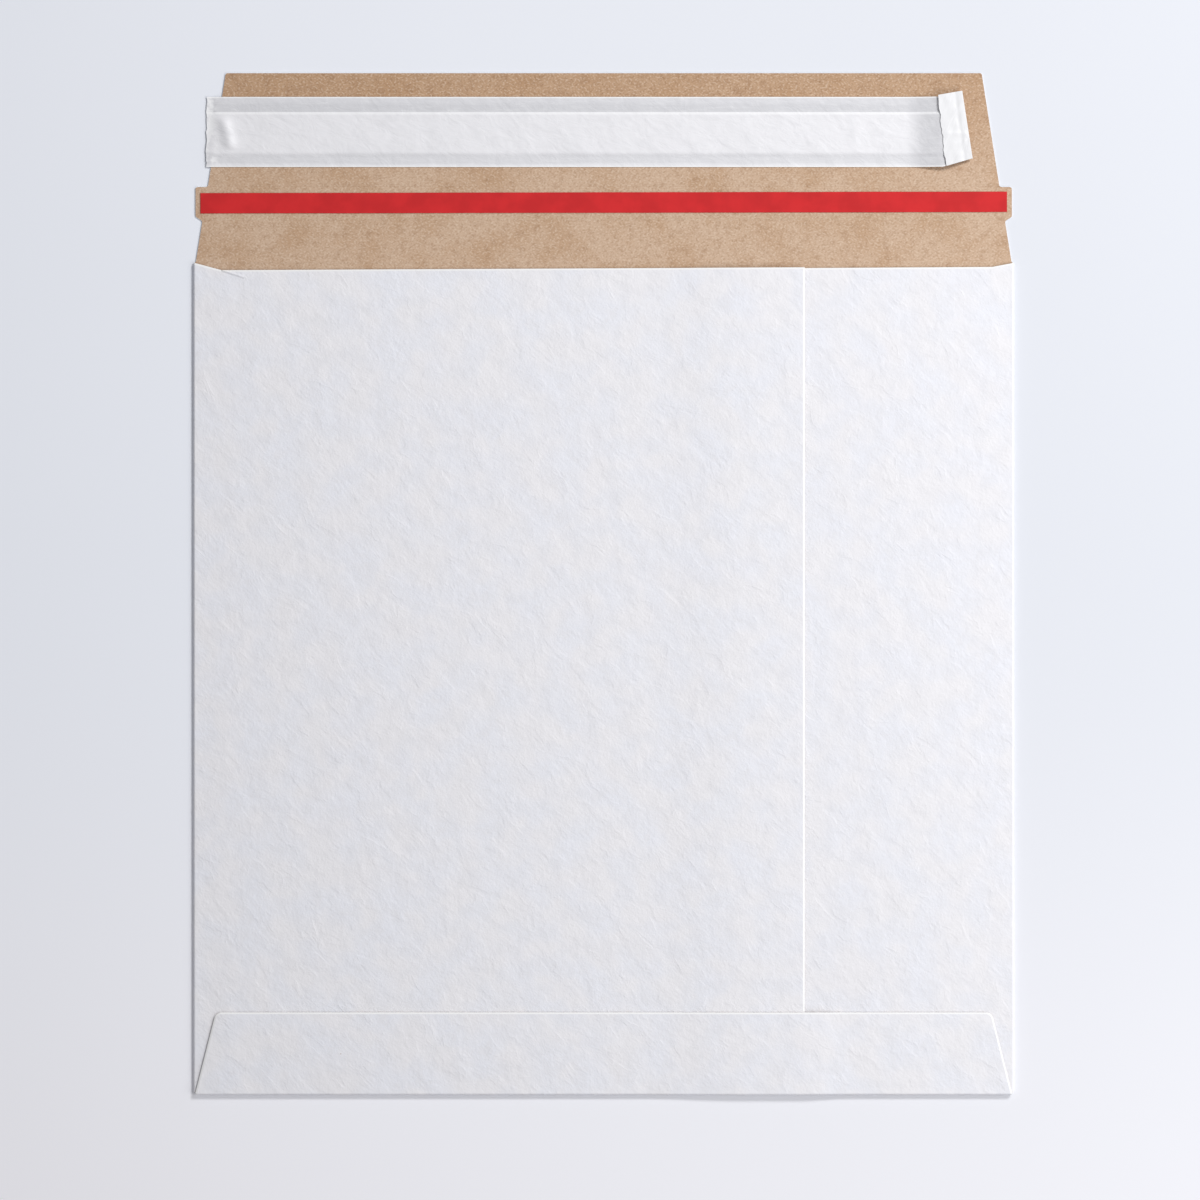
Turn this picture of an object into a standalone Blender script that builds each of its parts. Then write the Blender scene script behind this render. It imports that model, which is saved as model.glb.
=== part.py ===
"""Calendar envelope of solid board, lying seam side up with its closing flap open.

One blank is folded into a flat pocket: the front panel lies on the surface, and the two
back panels are glued over each other at a side seam. The bottom flap is glued up over
them, and the closing flap carries the tear tape, the adhesive and its release liner.
Metres, +Z up. +Y runs from the bottom fold to the tip of the open flap, and +X to the
right of someone who looks at the seam. The origin is under the middle of the envelope.
Places along Y are measured from the flap crease.
"""

import math
from typing import NamedTuple

import bmesh
import bpy

# Board and pocket
BOARD = 0.0005
BODY_WIDTH = 0.330
BODY_LENGTH = 0.335
POCKET_GAP = 0.0006

# Clearances
SEAT_GAP = 0.0002
CREASE_GAP = 0.0003
CLOSED_CLEARANCE = 0.0003

# Side seam: the left back panel lies over the right one
SEAM_FROM_LEFT = 0.2458
SEAM_OVERLAP = 0.022
SEAM_RAMP = 0.036
SEAM_RAMP_END = 0.003

# Throat: the free top edge of the back panels, below the flap crease
THROAT_END_DROP = 0.0002
THROAT_LEFT_RUN = 0.0113
THROAT_LEFT_DROP = 0.0033
THROAT_SEAM_DROP = 0.0022
THROAT_RIGHT_EDGE_DROP = 0.0025
THROAT_RIGHT_DROP = 0.0020
THROAT_RIGHT_RUN = 0.0087

# Bottom flap
BOTTOM_FLAP_HEIGHT = 0.0332
BOTTOM_FLAP_TAPER = 0.0082
BOTTOM_FLAP_CORNER = 0.003
BOTTOM_FLAP_RAMP = 0.018
BOTTOM_LAP = 0.003

# Glue lines
GLUE = 0.0001
GLUE_WIDTH = 0.012
GLUE_INSET = 0.004
GLUE_END_MARGIN = 0.008

# Closing flap: inset is at its root, and taper is how far each side has come in at its tip
FLAP_LENGTH = 0.076
FLAP_INSET = 0.0009
FLAP_TAPER = 0.012
FLAP_CORNER = 0.0008

# Tear strip: tabs that stand out of the flap's slanting sides, score lines and tape
TAB_REACH = 0.005
TAB_BOTTOM = 0.0182
TAB_HEIGHT = 0.012
TAB_SLANT = 0.0018
TAB_CORNER = 0.001
SCORE_WIDTH = 0.0006
SCORE_DEPTH = 0.00015
TAPE = 0.0001
TAPE_WIDTH = 0.0082
TAPE_ABOVE_TAB_BOTTOM = 0.0016
TAPE_END_INSET = 0.0021

# Release liner, with its right end folded back as a finger lift
LINER = 0.0001
LINER_LOW = 0.0382
LINER_WIDTH = 0.0282
LINER_SHOULDER = 0.0017
LINER_OVERHANG = 0.0017

# Self-seal adhesive under the liner
ADHESIVE = 0.0002
ADHESIVE_WIDTH = 0.0155
ADHESIVE_ABOVE_LINER_LOW = 0.0057
ADHESIVE_INSET = 0.0037
ADHESIVE_LIFT_MARGIN = 0.003

# Finger lift: its fold slants, and slides up the flap a little
LIFT_INSET = 0.0101
LIFT_LENGTH = 0.014
LIFT_FOLD_SLANT = 0.0042
LIFT_FOLD_UP_LOW = 0.0033
LIFT_FOLD_UP_HIGH = 0.0023
LIFT_FOLD_RADIUS = 0.0005
LIFT_BACK_LOW = 0.0103
LIFT_BACK_HIGH = 0.0096
LIFT_EDGE_UP_LOW = 0.0003
LIFT_EDGE_UP_HIGH = 0.0006
LIFT_RISE = 0.0007
LIFT_OPENING = 0.0014

# Mesh steps
FOLD_STEPS = 8
RAMP_STEPS = 8
CORNER_STEPS = 5
LIFT_STEPS = 6

# Heights of the board's middle plane, and radius of its folds
FRONT_Z = BOARD / 2
BACK_Z = FRONT_Z + BOARD + POCKET_GAP
GLUED_STEP = BOARD + GLUE + 2 * SEAT_GAP
FOLD_RADIUS = (BACK_Z - FRONT_Z) / 2
FOLD_OUTSIDE = FOLD_RADIUS + BOARD / 2
STACK_TOP = BACK_Z + GLUED_STEP + BOARD / 2

# Places that follow from the sizes above
HALF_WIDTH = BODY_WIDTH / 2
FLAT_HALF = HALF_WIDTH - FOLD_OUTSIDE
SEAM_X = SEAM_FROM_LEFT - HALF_WIDTH
HIDDEN_EDGE_X = SEAM_X - SEAM_OVERLAP
BOTTOM_Y = -BODY_LENGTH
PANEL_END_Y = BOTTOM_Y + FOLD_OUTSIDE
CREASE_Y = (BODY_LENGTH - FLAP_LENGTH) / 2
HINGE_Y = CREASE_GAP / 2
HINGE_Z = (STACK_TOP + CLOSED_CLEARANCE + BOARD) / 2
FILM_Z = BOARD + SEAT_GAP
TAB_TOP = TAB_BOTTOM + TAB_HEIGHT
LINER_HIGH = LINER_LOW + LINER_WIDTH
ADHESIVE_LOW = LINER_LOW + ADHESIVE_ABOVE_LINER_LOW
ADHESIVE_HIGH = ADHESIVE_LOW + ADHESIVE_WIDTH

# Colour, roughness
WHITE_BOARD = ((0.86, 0.86, 0.88), 0.62)
KRAFT_BOARD = ((0.55, 0.39, 0.26), 0.85)
RED_FILM = ((0.60, 0.03, 0.03), 0.38)
CLEAR_ADHESIVE = ((0.80, 0.78, 0.68), 0.30)
WHITE_LINER = ((0.84, 0.85, 0.86), 0.40)
HOT_MELT = ((0.78, 0.70, 0.48), 0.45)


class Home(NamedTuple):
    """Where a piece goes: its collection, its empty, and that empty's place from the crease."""

    collection: bpy.types.Collection
    frame: bpy.types.Object
    place: tuple


def clear_scene():
    for obj in list(bpy.data.objects):
        bpy.data.objects.remove(obj, do_unlink=True)


def new_collection(name):
    group = bpy.data.collections.new(name)
    bpy.context.scene.collection.children.link(group)
    return group


def new_material(name, look):
    colour, roughness = look
    material = bpy.data.materials.new(name)
    material.use_nodes = True
    shader = material.node_tree.nodes["Principled BSDF"]
    shader.inputs["Base Color"].default_value = (*colour, 1)
    shader.inputs["Roughness"].default_value = roughness
    return material


def new_frame(name, place, parent, collection):
    """An empty that pieces hang on."""
    frame = bpy.data.objects.new(name, None)
    frame.empty_display_size = 0.02
    collection.objects.link(frame)
    frame.location = place
    frame.parent = parent
    return frame


def new_object(name, mesh, home):
    """An object whose mesh is measured from the flap crease, hung on its home's empty."""
    obj = bpy.data.objects.new(name, mesh)
    home.collection.objects.link(obj)
    obj.parent = home.frame
    obj.location = [-c for c in home.place]
    return obj


def finish_piece(obj, look):
    obj.data.materials.clear()
    obj.data.materials.append(new_material(obj.name, look))
    obj.data.shade_smooth()
    obj.data.set_sharp_from_angle(angle=math.radians(30))
    return obj


def steps(start, end, count):
    return [start + (end - start) * i / count for i in range(count + 1)]


def eased(share):
    share = min(max(share, 0.0), 1.0)
    return share * share * (3 - 2 * share)


def arc(centre, radius, start, end, count=FOLD_STEPS):
    """Points round a centre, from one angle to another, in degrees."""
    return [
        (centre[0] + radius * math.cos(a), centre[1] + radius * math.sin(a))
        for a in steps(math.radians(start), math.radians(end), count)
    ]


def bent_sheet(name, rows, columns, place, thickness, home):
    """A grid of rows and columns, each corner put by place(row, column), made thick."""
    bm = bmesh.new()
    grid = [[bm.verts.new(place(row, column)) for column in columns] for row in rows]
    for near, far in zip(grid, grid[1:]):
        for i in range(len(columns) - 1):
            bm.faces.new((near[i], near[i + 1], far[i + 1], far[i]))
    mesh = bpy.data.meshes.new(name)
    bm.to_mesh(mesh)
    bm.free()
    obj = new_object(name, mesh, home)
    shell = obj.modifiers.new("thickness", "SOLIDIFY")
    shell.thickness = thickness
    shell.offset = 0
    shell.use_even_offset = True
    return obj


def rounded(corners):
    """Points of a closed outline from (x, y, radius) corners, each corner an arc."""
    points = []
    for i, (x, y, radius) in enumerate(corners):
        before = corners[i - 1]
        after = corners[(i + 1) % len(corners)]
        if not radius:
            points.append((x, y))
            continue
        into = math.atan2(before[1] - y, before[0] - x)
        out = math.atan2(after[1] - y, after[0] - x)
        half = ((out - into + math.pi) % (2 * math.pi) - math.pi) / 2
        reach = radius / math.sin(abs(half))
        centre = (x + reach * math.cos(into + half), y + reach * math.sin(into + half))
        turn = math.copysign(math.pi / 2 - abs(half), half)
        middle = into + half + math.pi
        for a in steps(middle + turn, middle - turn, CORNER_STEPS):
            points.append((centre[0] + radius * math.cos(a), centre[1] + radius * math.sin(a)))
    return points


def flat_solid(name, outline, bottom, top, home):
    """A closed outline in X and Y, from one height to another, as a welded mesh."""
    curve = bpy.data.curves.new(name, "CURVE")
    curve.dimensions = "2D"
    curve.fill_mode = "BOTH"
    curve.extrude = (top - bottom) / 2
    line = curve.splines.new("POLY")
    line.points.add(len(outline) - 1)
    for point, (x, y) in zip(line.points, outline):
        point.co = (x, y, 0, 1)
    line.use_cyclic_u = True
    guide = new_object(name + "_outline", curve, home)
    bpy.context.view_layer.update()
    evaluated = guide.evaluated_get(bpy.context.evaluated_depsgraph_get())
    mesh = bpy.data.meshes.new_from_object(evaluated)
    bpy.data.objects.remove(guide, do_unlink=True)
    bm = bmesh.new()
    bm.from_mesh(mesh)
    bmesh.ops.remove_doubles(bm, verts=bm.verts, dist=1e-6)
    bmesh.ops.translate(bm, verts=bm.verts, vec=(0, 0, (top + bottom) / 2))
    bmesh.ops.recalc_face_normals(bm, faces=bm.faces)
    bm.to_mesh(mesh)
    bm.free()
    return new_object(name, mesh, home)


def block(name, low, high, home):
    """A box between two corners."""
    bm = bmesh.new()
    bmesh.ops.create_cube(bm, size=1)
    for vert in bm.verts:
        vert.co = [(a + b) / 2 + (b - a) * c for a, b, c in zip(low, high, vert.co)]
    mesh = bpy.data.meshes.new(name)
    bm.to_mesh(mesh)
    bm.free()
    return new_object(name, mesh, home)


def hide_helper(obj):
    obj.hide_render = True
    obj.display_type = "WIRE"
    return obj


def combine(obj, other, operation):
    boolean = obj.modifiers.new(operation.lower() + " " + other.name, "BOOLEAN")
    boolean.operation = operation
    boolean.object = hide_helper(other)
    return obj


def left_panel_z(x):
    """Height of the left back panel, which climbs onto the right one before the seam."""
    ramp_start = HIDDEN_EDGE_X - SEAM_RAMP_END - SEAM_RAMP
    return BACK_Z + GLUED_STEP * eased((x - ramp_start) / SEAM_RAMP)


def bottom_flap_z(x):
    """Height of the bottom flap, which follows the back panels down past the seam."""
    past_seam = eased((x - SEAM_X) / BOTTOM_FLAP_RAMP)
    return left_panel_z(x) + GLUED_STEP * (1 - past_seam)


def seam_ramp():
    """Places along X where the left back panel climbs."""
    ramp_end = HIDDEN_EDGE_X - SEAM_RAMP_END
    return steps(ramp_end - SEAM_RAMP, ramp_end, RAMP_STEPS)


def seam_descent():
    """Places along X where the bottom flap comes down to the right back panel."""
    return steps(SEAM_X, SEAM_X + BOTTOM_FLAP_RAMP, RAMP_STEPS)


def wrap_line():
    """Middle line of the board round the pocket, in X and Z, from one free edge to the other."""
    right = arc((FLAT_HALF, FRONT_Z + FOLD_RADIUS), FOLD_RADIUS, 90, -90)
    left = arc((-FLAT_HALF, FRONT_Z + FOLD_RADIUS), FOLD_RADIUS, 270, 90)
    over = [(x, left_panel_z(x)) for x in seam_ramp()]
    return [(HIDDEN_EDGE_X, BACK_Z), *right, *left, *over, (SEAM_X, left_panel_z(SEAM_X))]


def bottom_line(flap_z):
    """Middle line of the board round the bottom fold, in Y and Z, for one flap height."""
    under = arc((PANEL_END_Y, FRONT_Z + FOLD_RADIUS), FOLD_RADIUS, 270, 180)
    over = arc((PANEL_END_Y, flap_z - FOLD_RADIUS), FOLD_RADIUS, 180, 90)
    lap = (PANEL_END_Y + BOTTOM_LAP, FRONT_Z)
    return [lap, *under, *over, (BOTTOM_Y + BOTTOM_FLAP_HEIGHT, flap_z)]


def make_wrapped_panels(home):
    """Right back panel, front panel and left back panel, as one sheet bent round the pocket."""
    line = wrap_line()
    return bent_sheet(
        "folded_board",
        line,
        (PANEL_END_Y, 0.0),
        lambda point, y: (point[0], y, point[1]),
        BOARD,
        home,
    )


def make_bottom_wrap(helpers):
    """The bottom fold and its flap, cut to the flap's tapered outline."""
    columns = [-HALF_WIDTH, *seam_ramp(), *seam_descent(), HALF_WIDTH]
    rows = range(len(bottom_line(BACK_Z + GLUED_STEP)))
    wrap = bent_sheet(
        "bottom_wrap",
        rows,
        columns,
        lambda row, x: (x, *bottom_line(bottom_flap_z(x))[row]),
        BOARD,
        helpers,
    )
    slant = BOTTOM_FLAP_TAPER / BOTTOM_FLAP_HEIGHT
    top = BOTTOM_Y + BOTTOM_FLAP_HEIGHT
    below = BOTTOM_Y - BOARD
    root = FLAT_HALF + slant * BOARD
    narrow = FLAT_HALF - BOTTOM_FLAP_TAPER
    outline = rounded(
        [
            (-root, below, 0),
            (root, below, 0),
            (narrow, top, BOTTOM_FLAP_CORNER),
            (-narrow, top, BOTTOM_FLAP_CORNER),
        ]
    )
    shape = flat_solid("bottom_outline", outline, -BOARD, STACK_TOP + 2 * GLUED_STEP, helpers)
    return combine(wrap, shape, "INTERSECT")


def make_throat_cutter(helpers):
    """What is cut from the back panels above the throat, which leaves the front panel whole."""
    side = HALF_WIDTH + BOARD
    outline = [
        (-side, CREASE_GAP),
        (-side, -THROAT_END_DROP),
        (-HALF_WIDTH + THROAT_LEFT_RUN, -THROAT_LEFT_DROP),
        (SEAM_X, -THROAT_SEAM_DROP),
        (SEAM_X + SEAT_GAP, -THROAT_RIGHT_EDGE_DROP),
        (HALF_WIDTH - THROAT_RIGHT_RUN, -THROAT_RIGHT_DROP),
        (side, -THROAT_END_DROP),
        (side, CREASE_GAP),
    ]
    return flat_solid("throat_cutter", outline, BOARD + POCKET_GAP / 3, 2 * STACK_TOP, helpers)


def make_folded_board(home, helpers):
    board = make_wrapped_panels(home)
    combine(board, make_bottom_wrap(helpers), "UNION")
    combine(board, make_throat_cutter(helpers), "DIFFERENCE")
    return finish_piece(board, WHITE_BOARD)


def make_seam_glue(home):
    right = SEAM_X - GLUE_INSET
    bottom = BACK_Z + BOARD / 2 + SEAT_GAP
    glue = block(
        "seam_glue",
        (right - GLUE_WIDTH, PANEL_END_Y + GLUE_END_MARGIN, bottom),
        (right, -THROAT_SEAM_DROP - GLUE_END_MARGIN, bottom + GLUE),
        home,
    )
    return finish_piece(glue, HOT_MELT)


def make_bottom_flap_glue(home):
    """A line of glue under the bottom flap, bent over the seam as the flap is."""
    end = FLAT_HALF - BOTTOM_FLAP_TAPER - GLUE_INSET
    columns = [-end, *seam_ramp(), *seam_descent(), end]
    top = BOTTOM_Y + BOTTOM_FLAP_HEIGHT - GLUE_INSET
    under_flap = BOARD / 2 + SEAT_GAP + GLUE / 2
    glue = bent_sheet(
        "bottom_flap_glue",
        (top - GLUE_WIDTH, top),
        columns,
        lambda y, x: (x, y, bottom_flap_z(x) - under_flap),
        GLUE,
        home,
    )
    return finish_piece(glue, HOT_MELT)


def flap_half_width(y):
    """Half the width between the closing flap's slanting sides."""
    return HALF_WIDTH - FLAP_INSET - FLAP_TAPER * y / FLAP_LENGTH


def tab_half_span():
    return flap_half_width(TAB_TOP) + TAB_REACH


def flap_outline():
    """The closing flap's outline: slanting sides, and the tear strip's tab on each."""
    tab_x = tab_half_span()
    slant_end = TAB_BOTTOM - TAB_SLANT
    right = [
        (flap_half_width(CREASE_GAP), CREASE_GAP, 0),
        (flap_half_width(slant_end), slant_end, TAB_CORNER),
        (tab_x, TAB_BOTTOM, TAB_CORNER),
        (tab_x, TAB_TOP, TAB_CORNER),
        (flap_half_width(TAB_TOP), TAB_TOP, TAB_CORNER),
        (flap_half_width(FLAP_LENGTH), FLAP_LENGTH, FLAP_CORNER),
    ]
    return rounded(right + [(-x, y, radius) for x, y, radius in reversed(right)])


def make_score(name, y, helpers):
    """A V-shaped groove across the flap's inner face, where the tear strip comes away."""
    bm = bmesh.new()
    bmesh.ops.create_cone(
        bm, cap_ends=True, segments=4, radius1=1, radius2=1, depth=BODY_WIDTH + 4 * BOARD
    )
    for vert in bm.verts:
        across, deep, along = vert.co
        vert.co = (along, y + across * SCORE_WIDTH / 2, BOARD + deep * SCORE_DEPTH)
    bmesh.ops.recalc_face_normals(bm, faces=bm.faces)
    mesh = bpy.data.meshes.new(name)
    bm.to_mesh(mesh)
    bm.free()
    return new_object(name, mesh, helpers)


def make_closing_flap(home, helpers):
    flap = flat_solid("closing_flap", flap_outline(), 0, BOARD, home)
    combine(flap, make_score("upper_score", TAB_TOP, helpers), "DIFFERENCE")
    combine(flap, make_score("lower_score", TAB_BOTTOM - TAB_SLANT, helpers), "DIFFERENCE")
    return finish_piece(flap, KRAFT_BOARD)


def make_tear_tape(home):
    low = TAB_BOTTOM + TAPE_ABOVE_TAB_BOTTOM
    end = tab_half_span() - TAPE_END_INSET
    tape = block(
        "tear_tape",
        (-end, low, FILM_Z),
        (end, low + TAPE_WIDTH, FILM_Z + TAPE),
        home,
    )
    return finish_piece(tape, RED_FILM)


def lift_fold():
    """Lower and upper end of the finger lift's fold."""
    low = (flap_half_width(LINER_LOW) - LIFT_INSET, LINER_LOW + LIFT_FOLD_UP_LOW)
    return low, (low[0] - LIFT_FOLD_SLANT, LINER_HIGH + LIFT_FOLD_UP_HIGH)


def lift_edge():
    """Lower and upper corner of the finger lift's free edge, which has come back to the left."""
    low, high = lift_fold()
    return (
        (low[0] - LIFT_BACK_LOW, LINER_LOW + LIFT_EDGE_UP_LOW),
        (high[0] - LIFT_BACK_HIGH, LINER_HIGH + LIFT_EDGE_UP_HIGH),
    )


def lift_start():
    return lift_fold()[0][0] - LIFT_LENGTH


def adhesive_ends():
    return ADHESIVE_INSET - flap_half_width(ADHESIVE_HIGH), lift_start() - ADHESIVE_LIFT_MARGIN


def make_adhesive_strip(home):
    left, right = adhesive_ends()
    strip = block(
        "adhesive_strip",
        (left, ADHESIVE_LOW, FILM_Z),
        (right, ADHESIVE_HIGH, FILM_Z + ADHESIVE),
        home,
    )
    return finish_piece(strip, CLEAR_ADHESIVE)


def liner_rows():
    """Places across the liner, with how far each is raised by the adhesive: 0 to 1."""
    low = ADHESIVE_LOW - SEAT_GAP
    high = ADHESIVE_HIGH + SEAT_GAP
    return [
        (LINER_LOW, 0),
        (low - LINER_SHOULDER, 0),
        (low, 1),
        (high, 1),
        (high + LINER_SHOULDER, 0),
        (LINER_HIGH, 0),
    ]


def straight_station(x, raised):
    return (x, LINER_LOW), (x, LINER_HIGH), 0.0, raised


def mixed(a, b, share):
    return tuple(p + (q - p) * share for p, q in zip(a, b))


def lift_stations():
    """The liner's right end: it rises, turns over at a slanting fold and comes back."""
    fold_low, fold_high = lift_fold()
    edge_low, edge_high = lift_edge()
    stations = []
    for share in steps(0, 1, LIFT_STEPS):
        low = mixed((lift_start(), LINER_LOW), fold_low, share)
        high = mixed((lift_start(), LINER_HIGH), fold_high, share)
        stations.append((low, high, LIFT_RISE * eased(share), 0))
    for outward, up in arc((0, LIFT_RISE + LIFT_FOLD_RADIUS), LIFT_FOLD_RADIUS, -90, 90)[1:]:
        low = (fold_low[0] + outward, fold_low[1])
        high = (fold_high[0] + outward, fold_high[1])
        stations.append((low, high, up, 0))
    fold_top = LIFT_RISE + 2 * LIFT_FOLD_RADIUS
    for share in steps(0, 1, LIFT_STEPS)[1:]:
        low = mixed(fold_low, edge_low, share)
        high = mixed(fold_high, edge_high, share)
        stations.append((low, high, fold_top + LIFT_OPENING * share, 0))
    return stations


def liner_stations():
    """Lines across the liner: lower end, upper end, lift, and share of the raised middle."""
    left, right = adhesive_ends()
    return [
        straight_station(-flap_half_width(LINER_LOW) - LINER_OVERHANG, 0),
        straight_station(left - SEAT_GAP - LINER_SHOULDER, 0),
        straight_station(left - SEAT_GAP, 1),
        straight_station(right + SEAT_GAP, 1),
        straight_station(right + SEAT_GAP + LINER_SHOULDER, 0),
        *lift_stations(),
    ]


def liner_point(station, row):
    low, high, lift, raised_along = station
    place, raised_across = row
    x, y = mixed(low, high, (place - LINER_LOW) / LINER_WIDTH)
    raised = (ADHESIVE + SEAT_GAP) * raised_along * raised_across
    return x, y, FILM_Z + LINER / 2 + raised + lift


def make_release_liner(home):
    liner = bent_sheet("release_liner", liner_stations(), liner_rows(), liner_point, LINER, home)
    return finish_piece(liner, WHITE_LINER)


def make_envelope():
    clear_scene()
    pieces = new_collection("calendar_envelope")
    cutters = new_collection("cutters")
    crease = new_frame("flap_crease", (0, CREASE_Y, 0), None, pieces)
    hinge_place = (0, HINGE_Y, HINGE_Z)
    hinge = new_frame("flap_hinge", hinge_place, crease, pieces)
    pocket = Home(pieces, crease, (0, 0, 0))
    helpers = Home(cutters, crease, (0, 0, 0))
    flap = Home(pieces, hinge, hinge_place)
    make_folded_board(pocket, helpers)
    make_seam_glue(pocket)
    make_bottom_flap_glue(pocket)
    make_closing_flap(flap, helpers)
    make_tear_tape(flap)
    make_adhesive_strip(flap)
    make_release_liner(flap)


make_envelope()
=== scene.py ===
"""Looks of the calendar envelope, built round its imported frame.

The board is laid out as the flat blank that it is cut from, and folded round the pocket
as the real one is. The tear tape and the release liner are new pieces as well. The
adhesive and the two glue lines keep their CAD shapes and get finishes of their own.
Metres, with +Y towards the tip of the open flap and +X to the right of the seam side.
"""

import math

import bmesh
import bpy
from bpy.props import FloatProperty, FloatVectorProperty, PointerProperty
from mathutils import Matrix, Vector, noise


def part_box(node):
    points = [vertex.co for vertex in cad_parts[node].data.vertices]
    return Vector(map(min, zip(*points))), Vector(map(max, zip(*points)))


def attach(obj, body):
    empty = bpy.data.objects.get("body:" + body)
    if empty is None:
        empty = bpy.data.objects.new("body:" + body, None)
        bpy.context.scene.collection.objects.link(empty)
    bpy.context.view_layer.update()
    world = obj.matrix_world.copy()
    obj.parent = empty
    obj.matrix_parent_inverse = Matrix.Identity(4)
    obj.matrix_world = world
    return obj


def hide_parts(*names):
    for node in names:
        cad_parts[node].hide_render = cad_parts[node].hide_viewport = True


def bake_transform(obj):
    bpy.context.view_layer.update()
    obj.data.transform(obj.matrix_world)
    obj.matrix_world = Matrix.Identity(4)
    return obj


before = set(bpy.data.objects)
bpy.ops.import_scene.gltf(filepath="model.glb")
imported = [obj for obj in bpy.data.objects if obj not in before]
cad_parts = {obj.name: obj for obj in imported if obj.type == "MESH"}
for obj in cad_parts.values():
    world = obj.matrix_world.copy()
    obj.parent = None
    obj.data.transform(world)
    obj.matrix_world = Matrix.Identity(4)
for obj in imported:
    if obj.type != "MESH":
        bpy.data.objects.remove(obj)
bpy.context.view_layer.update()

bl_info = {
    "name": "Calendar envelope",
    "version": (1, 0, 0),
    "blender": (4, 5, 0),
    "location": "3D View > Sidebar > Envelope",
    "description": "Builds the visible pieces and the stage of a calendar envelope",
    "category": "Add Mesh",
}

FLAT_MAP = "flat"
MM = 0.001

# Board and pocket, as in the part's source
BOARD = 0.5 * MM
POCKET_GAP = 0.6 * MM
GLUED_STEP = 1.0 * MM
FRONT_Z = BOARD / 2
BACK_Z = FRONT_Z + BOARD + POCKET_GAP
FOLD_RADIUS = (BACK_Z - FRONT_Z) / 2
FOLD_OUTSIDE = FOLD_RADIUS + BOARD / 2
FOLD_LENGTH = math.pi * FOLD_RADIUS

# Places that come from the frame
POCKET_LOW, POCKET_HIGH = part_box("folded_board")
TAPE_LOW, TAPE_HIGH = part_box("tear_tape")
ADHESIVE_LOW, ADHESIVE_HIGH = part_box("adhesive_strip")
LINER_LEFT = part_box("release_liner")[0].x
CREASE = POCKET_HIGH.y

# Flat blank: X from its middle line, and Y from the flap's crease
FLAT_HALF = POCKET_HIGH.x - FOLD_OUTSIDE
BACK_START = FLAT_HALF + FOLD_LENGTH
PANEL_END = POCKET_LOW.y - CREASE + FOLD_OUTSIDE

# Side seam and bottom flap. The left back panel ramps up onto the right one's hidden edge
SEAM_X = 80.8 * MM
HIDDEN_EDGE_X = 58.8 * MM
RAMP_START = 19.8 * MM
RAMP = 36 * MM
DESCENT = 18 * MM
BOTTOM_HEIGHT = 33.2 * MM
BOTTOM_HALF = 156 * MM
BOTTOM_FOLD = 2 * FOLD_LENGTH
BOTTOM_CORNER = 3 * MM
TUCK = PANEL_END - BOTTOM_FOLD
BOTTOM_FREE = TUCK - BOTTOM_HEIGHT + FOLD_OUTSIDE

# Throat: X and Y of each end of its two lines, and its Y at the side folds
THROAT_LEFT = ((-153.7 * MM, -3.3 * MM), (SEAM_X, -2.2 * MM))
THROAT_RIGHT = ((156.3 * MM, -2.0 * MM), (HIDDEN_EDGE_X, -2.6 * MM))
THROAT_CHAMFER = -0.5 * MM
THROAT_FOLD = -0.3 * MM
RIDGE_RUN = (-11.2 * MM, -3.6 * MM)
RIDGE_LINES = (-0.8 * MM, 0, 0.7 * MM)
RIDGE_REACH = 22 * MM

# Closing flap: half widths and Y up its side, with its tear strip
FLAP_ROOT = (164.1 * MM, 0.3 * MM)
FLAP_UNDER_TAB = (161.5 * MM, 16.4 * MM)
TAB_LOW = (164.3 * MM, 18.2 * MM)
TAB_HIGH = (164.3 * MM, 30.2 * MM)
FLAP_OVER_TAB = (159.3 * MM, 30.2 * MM)
FLAP_TIP = (152.1 * MM, 76 * MM)
FLAP_RUN = FLAP_TIP[1] - FLAP_OVER_TAB[1]
SCORES = (FLAP_UNDER_TAB[1], TAB_HIGH[1])
SCORE_HALF = 0.3 * MM
SCORE_OUTSIDE = 0.6
TIP_CORNER = 0.8 * MM
TAB_CORNER = 1 * MM
CREASE_BEAD_HALF = 0.9 * MM

# Tear tape and release liner: both lie at this height, and the liner starts at this Y
FILM = 0.1 * MM
FILM_Z = 0.7 * MM
LINER_Y = 38.2 * MM
LINER_WIDTH = 28.2 * MM
LINER_SHOULDER = (1.7 * MM, 0.9 * MM)
LINER_RAISED = 0.4 * MM
LINER_DROOP = 0.3 * MM

# Finger lift: X along the liner where it leaves the straight part and where the climb to its
# fold starts and ends. Past the climb the liner bows down again to the fold.
LIFT_START = 136.5 * MM
LIFT_LENGTH = 11.5 * MM
LIFT_SLOPE = (121.5 * MM, 137.0 * MM)
LIFT_BOW = 0.75 * MM
LIFT_BOW_END = 145 * MM

# Its fold and its free edge, each from the liner's lower rim to its upper one
LIFT_FOLD = ((148.0 * MM, 41.5 * MM), (143.8 * MM, 68.7 * MM))
LIFT_EDGE = ((137.7 * MM, 38.5 * MM), (134.2 * MM, 67.0 * MM))
LIFT_BACK = 10 * MM
LIFT_RADIUS = 0.3 * MM

# Bands of the liner's tone, its painted highlights and its painted shade: Y across it, or X along it, where
# each starts and where it is full
OVER_LOW = (3.6 * MM, 6.4 * MM)
OVER_HIGH = (22.2 * MM, 21.9 * MM)
LOW_RIM = (1.9 * MM, 0.8 * MM)
HIGH_RIM = (24.6 * MM, 26.4 * MM)
LOW_HALF = (6 * MM, 3 * MM)
# Painted highlight on the liner's shoulder over the adhesive's upper edge
SHOULDER_HIGHLIGHT_START = (20.8 * MM, 21.5 * MM)
# Painted highlights along the liner's two long rims
HIGH_RIM_HIGHLIGHT = (27.5 * MM, 28.0 * MM)
LOW_RIM_HIGHLIGHT = (0.7 * MM, 0.2 * MM)
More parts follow.
